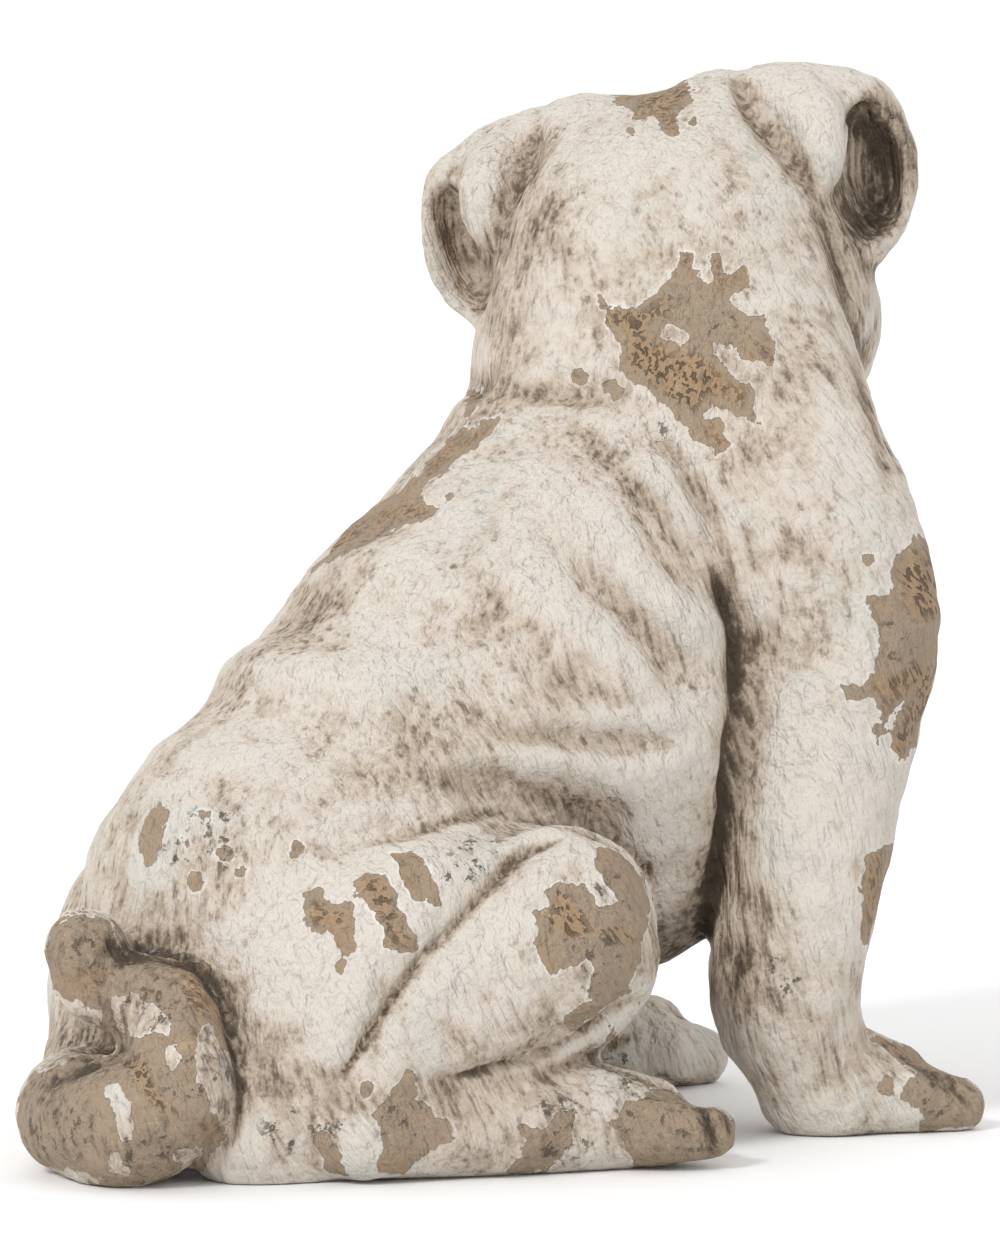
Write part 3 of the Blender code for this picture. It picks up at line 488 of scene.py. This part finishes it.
class Skin:
    """The dog's fine mesh as arrays: places, normals and the edges between them."""

    def __init__(self, mesh):
        self.mesh = mesh
        self.points = vertex_array(mesh)
        self.edges = np.empty(len(mesh.edges) * 2, np.int32)
        mesh.edges.foreach_get("vertices", self.edges)
        self.edges = self.edges.reshape(-1, 2)
        self.count = np.bincount(self.edges.ravel(), minlength=len(self.points)).astype(float)
        self.normals = vertex_array(mesh, "normal")

    def average(self, values):
        """Each vertex's neighbours averaged."""
        a, b = self.edges.T
        columns = values.reshape(len(values), -1)
        total = np.stack(
            [np.bincount(a, c[b], len(values)) + np.bincount(b, c[a], len(values)) for c in columns.T], axis=1
        )
        return (total / self.count[:, None]).reshape(values.shape)

    def spread(self, values, rounds):
        for _ in range(rounds):
            values = 0.5 * values + 0.5 * self.average(values)
        return values

    def smooth(self, rounds):
        """Loses small facets and keeps the volume, by a step in and a longer step out."""
        for _ in range(rounds):
            for step in SMOOTHING_STEPS:
                self.points = self.points + step * (self.average(self.points) - self.points)
        self.settle()

    def lift(self, heights):
        self.points = self.points + self.normals * heights[:, None]
        self.settle()

    def settle(self):
        put_vertices(self.mesh, self.points)
        self.normals = vertex_array(self.mesh, "normal")

    def store(self, name, values):
        layer = self.mesh.attributes.new(name, "FLOAT", "POINT")
        layer.data.foreach_set("value", values.astype(np.float32))


class Side:
    """The vertices that the photograph's camera sees, or its mirror image for the dog's other side."""

    def __init__(self, skin, tree, mirrored):
        flip = np.array([1.0, -1.0 if mirrored else 1.0, 1.0])
        self.pixels = photo_pixels(skin.points * flip)
        eye = np.array(CAMERA_PLACE) * flip
        toward = eye - skin.points
        toward /= np.linalg.norm(toward, axis=1)[:, None]
        facing = (toward * skin.normals).sum(1)
        start = skin.points + skin.normals * RAY_START
        self.seen = np.clip((facing - SEEN_FROM) / SEEN_OVER, 0.0, 1.0)
        if mirrored:
            self.seen[skin.points[:, 1] < 0] = 0.0
        for i in np.nonzero(self.seen)[0]:
            if tree.ray_cast(Vector(start[i]), Vector(toward[i]), RAY_REACH)[0] is not None:
                self.seen[i] = 0.0
        self.seen = skin.spread(self.seen, 1)


class Face:
    """The vertices on the front of the head, as seen from straight ahead of it, in millimetres."""

    def __init__(self, skin):
        angles = [math.radians(a) for a in (HEAD_TILT, HEAD_NOD, HEAD_TURN)]
        axes = np.array(Euler(angles, "XYZ").to_matrix())
        local = (skin.points - HEAD_PLACE) @ axes
        self.pixels = local[:, 1:] * MILLIMETRES
        facing = skin.normals @ axes[:, 0]
        self.seen = np.clip((facing - FACE_FROM) / FACE_OVER, 0.0, 1.0) * (local[:, 0] > FACE_AHEAD)


def smooth_line(points):
    """The points joined by a Catmull-Rom curve."""
    points = np.array(points, float)
    ends = [points[0] * 2 - points[1], *points, points[-1] * 2 - points[-2]]
    made = []
    for p0, p1, p2, p3 in zip(ends, ends[1:], ends[2:], ends[3:]):
        for t in CURVE_STEPS:
            made.append(
                0.5 * (2 * p1 + (p2 - p0) * t + (2 * p0 - 5 * p1 + 4 * p2 - p3) * t**2
                       + (3 * p1 - p0 - 3 * p2 + p3) * t**3)
            )
    made.append(points[-1])
    return np.array(made)


def near_line(pixels, line, reach):
    """For each pixel place, its distance from the line and the line's strength there."""
    distance = np.full(len(pixels), FAR)
    strength = np.zeros(len(pixels))
    low, high = line[:, :2].min(0) - reach, line[:, :2].max(0) + reach
    near = np.all((pixels > low) & (pixels < high), axis=1)
    p = pixels[near]
    best, value = distance[near], strength[near]
    for a, b in zip(line[:-1], line[1:]):
        along = b[:2] - a[:2]
        t = np.clip(((p - a[:2]) @ along) / max(along @ along, 1e-9), 0.0, 1.0)
        away = np.linalg.norm(p - a[:2] - t[:, None] * along, axis=1)
        closer = away < best
        best = np.where(closer, away, best)
        value = np.where(closer, a[2] + t * (b[2] - a[2]), value)
    distance[near], strength[near] = best, value
    return distance, strength


def inside_by(pixels, outline):
    """How far inside the outline each pixel place is, under 0 outside."""
    outline = np.array(outline, float)
    low, high = outline.min(0) - OUTLINE_REACH, outline.max(0) + OUTLINE_REACH
    near = np.all((pixels > low) & (pixels < high), axis=1)
    p = pixels[near]
    away = np.full(len(p), FAR)
    within = np.zeros(len(p), bool)
    for a, b in zip(outline, np.roll(outline, -1, axis=0)):
        along = b - a
        t = np.clip(((p - a) @ along) / (along @ along), 0.0, 1.0)
        away = np.minimum(away, np.linalg.norm(p - a - t[:, None] * along, axis=1))
        crosses = (a[1] > p[:, 1]) != (b[1] > p[:, 1])
        slope = along[0] / along[1] if along[1] else 0.0
        within ^= crosses & (p[:, 0] < a[0] + (p[:, 1] - a[1]) * slope)
    made = np.full(len(pixels), FAR_OUTSIDE)
    made[near] = np.where(within, away, -away)
    return made


def noise_at(points, size, octaves, seed):
    """Smooth noise from -1 to 1 at each point."""
    shift = Vector((seed, seed * 0.7, -seed))
    places = [Vector(p) / size + shift for p in points]
    return np.array([noise.fractal(place, NOISE_FADE, NOISE_STEP, octaves) for place in places])


def make_skin(node):
    """A fine, even mesh on the solid's form."""
    mesh = node.data.copy()
    dog = bpy.data.objects.new("dog_skin", mesh)
    bpy.context.scene.collection.objects.link(dog)
    weld = dog.modifiers.new("weld", "WELD")
    weld.merge_threshold = WELD_DISTANCE
    remesh = dog.modifiers.new("remesh", "REMESH")
    remesh.mode = "VOXEL"
    remesh.voxel_size = SKIN_VOXEL
    graph = bpy.context.evaluated_depsgraph_get()
    made = bpy.data.meshes.new_from_object(dog.evaluated_get(graph))
    dog.modifiers.clear()
    dog.data = made
    made.materials.clear()
    made.shade_smooth()
    return dog


def carve(skin, sides, face):
    """The folds, grooves, toes and face, and the dirt and painted shade that lie in them."""
    heights = np.zeros(len(skin.points))
    dirt_and_shade = np.zeros(len(skin.points))
    cuts = []
    for _, points, width, height, dark, dark_width, both in CARVED:
        line = smooth_line(points)
        cuts += [(side, line, width, height, dark, dark_width) for side in (sides if both else sides[:1])]
    for _, points, width, height, dark, dark_width, paired in FACE:
        line = smooth_line(points)
        flips = (1, -1) if paired else (1,)
        cuts += [(face, line * (flip, 1, 1), width, height, dark, dark_width) for flip in flips]
    for side, line, width, height, dark, dark_width in cuts:
        distance, strength = near_line(side.pixels, line, LINE_REACH * max(width, dark_width))
        heights += side.seen * strength * height * np.exp(-((distance / width) ** 2))
        # painted shade: each line's dark stands for the shade in its groove as well as its dirt
        mark = side.seen * strength * dark * np.exp(-((distance / dark_width) ** 2))
        dirt_and_shade = np.maximum(dirt_and_shade, mark)
    skin.lift(heights)
    return dirt_and_shade


def stain_and_shade(skin, sides, dirt_and_shade):
    """The dirt and painted shade with the broad stains, the painted shade under the belly and in the ears,
    and a darkening towards the bottom added.
    """
    for _, points, width, dark, both in STAINS_AND_SHADE:
        line = smooth_line(points)
        for side in sides if both else sides[:1]:
            distance, strength = near_line(side.pixels, line, LINE_REACH * width)
            mark = side.seen * strength * dark * np.exp(-((distance / width) ** 2))
            dirt_and_shade = 1.0 - (1.0 - dirt_and_shade) * (1.0 - mark)
    # Darker towards the bottom of the figure
    lower_dark = BOTTOM_DARK * np.clip(1.0 - skin.points[:, 2] / BOTTOM_HEIGHT, 0.0, 1.0) ** BOTTOM_FADE
    return 1.0 - (1.0 - dirt_and_shade) * (1.0 - lower_dark)


def roughen(skin):
    """The unevenness of the casting: broad lumps, small ones and pits."""
    heights = np.zeros(len(skin.points))
    for i, (size, height) in enumerate(LUMPS):
        heights += noise_at(skin.points, size, LUMP_OCTAVES, LUMP_SEED + i) * height
    pits = noise_at(skin.points, PIT_SIZE, LUMP_OCTAVES, PIT_SEED)
    heights -= np.clip(pits - PIT_FROM, 0.0, 1.0) * PIT_DEPTH
    heights[skin.points[:, 2] < FLAT_TO] = 0.0
    skin.lift(heights)


def lost_paint(skin, side, face):
    """How far each vertex is inside a patch of lost paint, in pixels of the photograph."""
    made = np.full(len(skin.points), FAR_OUTSIDE)
    for outline in LOST_PAINT:
        made = np.maximum(made, inside_by(side.pixels, outline))
    for x, y, radius in LOST_SPOTS:
        made = np.maximum(made, radius - np.linalg.norm(side.pixels - (x, y), axis=1))
    for outline in KEPT_PAINT:
        made = np.minimum(made, -inside_by(side.pixels, outline))
    hidden = noise_at(skin.points, LOSS_SIZE, LOSS_OCTAVES, LOSS_SEED) * LOSS_SPREAD - LOSS_SCARCITY
    hidden = hidden - LOSS_OFF_FACE * face.seen
    return np.where(side.seen > HARDLY_SEEN, made, hidden)


def pitted(skin, side):
    """From 0 to 1, how far the paint is cracked and pitted."""
    made = np.zeros(len(skin.points))
    for x, y, radius in PITTED:
        away = np.linalg.norm(side.pixels - (x, y), axis=1)
        made = np.maximum(made, side.seen * np.exp(-((away / radius) ** 2)))
    return made


def hollowness(skin, rounds):
    """How far the skin lies below its smoothed self: over 0 in a hollow, under 0 on a ridge."""
    return ((skin.spread(skin.points, rounds) - skin.points) * skin.normals).sum(1)


class Nodes:
    """Short names for the shader nodes that the finish is made of."""

    def __init__(self, material):
        self.tree = material.node_tree
        self.place = self.tree.nodes.new("ShaderNodeTexCoord").outputs["Object"]
        self.swayed = self.sway(*BEND, self.place)

    def link(self, value, socket):
        if isinstance(value, (int, float)):
            socket.default_value = value
        elif isinstance(value, tuple):
            socket.default_value = (*value, 1.0) if len(socket.default_value) == 4 else value
        else:
            self.tree.links.new(value, socket)

    def attribute(self, name):
        node = self.tree.nodes.new("ShaderNodeAttribute")
        node.attribute_name = name
        return node.outputs["Fac"]

    def math(self, operation, a, b=0.0):
        node = self.tree.nodes.new("ShaderNodeMath")
        node.operation = operation
        self.link(a, node.inputs[0])
        self.link(b, node.inputs[1])
        return node.outputs[0]

    def fit(self, value, low, high, to_low=0.0, to_high=1.0):
        """The value taken from one range to another, with a soft start and end."""
        node = self.tree.nodes.new("ShaderNodeMapRange")
        node.interpolation_type = "SMOOTHSTEP"
        for socket, number in zip(("Value", "From Min", "From Max", "To Min", "To Max"),
                                  (value, low, high, to_low, to_high)):
            self.link(number, node.inputs[socket])
        return node.outputs[0]

    def stretched(self, length, lean):
        """The place drawn out along a line that leans from upright by so many degrees, toward the nose."""
        node = self.tree.nodes.new("ShaderNodeMapping")
        node.vector_type = "TEXTURE"
        self.link(self.swayed, node.inputs["Vector"])
        node.inputs["Rotation"].default_value = (0.0, math.radians(lean), 0.0)
        node.inputs["Scale"].default_value = (1.0, 1.0, length)
        return node.outputs[0]

    def sway(self, size, far, place):
        """The place pushed to and fro, so that what is laid along it bends."""
        push = self.tree.nodes.new("ShaderNodeTexNoise")
        self.link(place, push.inputs["Vector"])
        push.inputs["Scale"].default_value = 1.0 / size
        push.inputs["Detail"].default_value = 0.0
        moved = self.tree.nodes.new("ShaderNodeVectorMath")
        moved.operation = "MULTIPLY_ADD"
        self.link(push.outputs["Color"], moved.inputs[0])
        moved.inputs[1].default_value = (far, far, far)
        self.link(place, moved.inputs[2])
        return moved.outputs[0]

    def pattern(self, size, detail, rough, twist, run=None):
        """Noise about 0, in strokes where it has a run."""
        node = self.tree.nodes.new("ShaderNodeTexNoise")
        self.link(self.stretched(*run) if run else self.place, node.inputs["Vector"])
        node.inputs["Scale"].default_value = 1.0 / size
        node.inputs["Detail"].default_value = detail
        node.inputs["Roughness"].default_value = rough
        node.inputs["Distortion"].default_value = twist
        return self.math("SUBTRACT", node.outputs["Fac"], 0.5)

    def cell_edges(self, size, place):
        """How far each place is from the edge of its cell, where a cell is 1 across."""
        node = self.tree.nodes.new("ShaderNodeTexVoronoi")
        node.feature = "DISTANCE_TO_EDGE"
        self.link(place, node.inputs["Vector"])
        node.inputs["Scale"].default_value = 1.0 / size
        return node.outputs["Distance"]

    def mix(self, share, a, b):
        node = self.tree.nodes.new("ShaderNodeMix")
        node.data_type = "RGBA"
        self.link(share, node.inputs[0])
        self.link(a, node.inputs[6])
        self.link(b, node.inputs[7])
        return node.outputs[2]

    def total(self, made, shares):
        """The sum of what is made, each by its share."""
        parts = [self.math("MULTIPLY", made[name], share) for name, share in shares.items()]
        whole = parts[0]
        for part in parts[1:]:
            whole = self.math("ADD", whole, part)
        return whole

    def both(self, a, b):
        """Where one effect and the other are."""
        return self.math("MULTIPLY", a, b)

    def without(self, effect):
        return self.math("SUBTRACT", 1.0, effect)

    def layered(self, made, ground, layers):
        """The ground's colour with each layer's colour laid over it where its effect is."""
        colour = ground
        for name, cover, over in layers:
            colour = self.mix(self.math("MULTIPLY", made[name], cover), colour, over)
        return colour

    def bump(self, height):
        """The normal over a height in metres."""
        node = self.tree.nodes.new("ShaderNodeBump")
        node.inputs["Distance"].default_value = 1.0
        self.link(height, node.inputs["Height"])
        return node.outputs[0]


def worn_paint_and_shade():
    """Chalky paint with dirt and painted shade in the hollows, flaked off a brown casting."""
    material = bpy.data.materials.new("worn_paint_and_shade")
    material.use_nodes = True
    n = Nodes(material)
    shader = material.node_tree.nodes["Principled BSDF"]

    made = {name: n.attribute(name) for name in ("dirt_and_shade", "hollow", "lost", "pitted")}
    made["everywhere"] = 1.0
    for name, values in PATTERNS.items():
        made[name] = n.pattern(*values)
    for name, shares in SUMS.items():
        made[name] = n.total(made, shares)
    for name, (shares, start, full) in EFFECTS.items():
        made[name] = n.fit(n.total(made, shares), start, full)

    edges = n.cell_edges(CRACK_CELL, n.sway(*WAVER, n.stretched(*CRACK_RUN)))
    made["cracks"] = n.both(n.fit(edges, 0.0, CRACK_WIDTH, 1.0, 0.0), made["broken"])
    made["rim"] = n.both(n.both(made["chipped"], n.without(made["bare"])), made["patchy"])
    made["pits"] = n.both(made["crumbled"], made["eroded"])
    made["flakes"] = n.both(made["scaly"], made["grimy and shaded"])
    made["dents"] = n.both(made["gouged"], made["core"])
    made["bare dents"] = n.both(made["dents"], made["bare"])
    made["bright"] = n.without(made["covered"])
    made["pale"] = n.math("MINIMUM", n.math("MAXIMUM", n.total(made, PALE), 0.0), 1.0)
    made["crumbling"] = n.both(made["crumbs"], n.total(made, CRUMBLING))

    paint = n.layered(made, PAINT, PAINT_LAYERS)
    body = n.layered(made, BODY, BODY_LAYERS)
    n.link(n.mix(made["bare"], paint, body), shader.inputs["Base Color"])
    n.link(n.fit(made["bare"], 0.0, 1.0, PAINT_ROUGHNESS, BODY_ROUGHNESS), shader.inputs["Roughness"])
    shader.inputs["Specular IOR Level"].default_value = GLOSS
    n.link(n.bump(n.total(made, RELIEF)), shader.inputs["Normal"])
    return material


def plain(name, colour, roughness):
    material = bpy.data.materials.new(name)
    material.use_nodes = True
    shader = material.node_tree.nodes["Principled BSDF"]
    shader.inputs["Base Color"].default_value = (*colour, 1.0)
    shader.inputs["Roughness"].default_value = roughness
    return material


def dress(node):
    """The dog's skin with its carving and finish, in place of the solid."""
    dog = make_skin(node)
    skin = Skin(dog.data)
    skin.smooth(SMOOTHING_ROUNDS)
    tree = BVHTree.FromPolygons(skin.points.tolist(), [tuple(p.vertices) for p in dog.data.polygons])
    sides = [Side(skin, tree, mirrored) for mirrored in (False, True)]
    face = Face(skin)
    dirt_and_shade = stain_and_shade(skin, sides, carve(skin, sides, face))
    lost = lost_paint(skin, sides[0], face)
    roughen(skin)
    # painted shade: the deeper the skin lies in a hollow, the darker its paint, as dirt and as the shade
    # there
    depths = [share * np.clip(hollowness(skin, rounds) / full, -1.0, 1.0) for rounds, full, share in HOLLOWS]
    skin.store("hollow", sum(depths))
    skin.store("dirt_and_shade", dirt_and_shade)
    skin.store("lost", lost)
    skin.store("pitted", pitted(skin, sides[0]))
    dog.data.materials.append(worn_paint_and_shade())
    return dog


def lay_floor():
    bpy.ops.mesh.primitive_plane_add(size=FLOOR_SIZE, location=(0, 0, -FLOOR_DROP))
    floor = bpy.context.object
    floor.name = "floor"
    floor.data.materials.append(plain("floor_paint", FLOOR, FLOOR_ROUGHNESS))


def light_studio():
    world = bpy.data.worlds.new("studio")
    world.use_nodes = True
    background = world.node_tree.nodes["Background"]
    background.inputs["Color"].default_value = (1.0, 1.0, 1.0, 1.0)
    background.inputs["Strength"].default_value = AMBIENT
    bpy.context.scene.world = world
    bpy.context.scene.view_settings.view_transform = "Standard"
    key = bpy.data.lights.new("key", "SUN")
    key.energy = KEY
    key.angle = math.radians(KEY_SPREAD)
    lamp = bpy.data.objects.new("key", key)
    travel = sum(axis * share for axis, share in zip(camera_axes()[1:], KEY_TRAVEL))
    lamp.rotation_euler = Vector(travel).to_track_quat("-Z", "Y").to_euler()
    bpy.context.scene.collection.objects.link(lamp)


def place_camera():
    data = bpy.data.cameras.new("camera")
    data.sensor_fit = "HORIZONTAL"
    data.sensor_width = SENSOR
    data.lens = FOCAL_PIXELS * SENSOR / PHOTO_WIDTH
    camera = bpy.data.objects.new("camera", data)
    place, forward, right, up = camera_axes()
    turn = Matrix((right, up, -forward)).transposed().to_4x4()
    camera.matrix_world = Matrix.Translation(place) @ turn
    bpy.context.scene.collection.objects.link(camera)
    bpy.context.scene.camera = camera


place_camera()
light_studio()
lay_floor()
dog = dress(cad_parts["dog"])
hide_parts("dog")
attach(dog, "root")
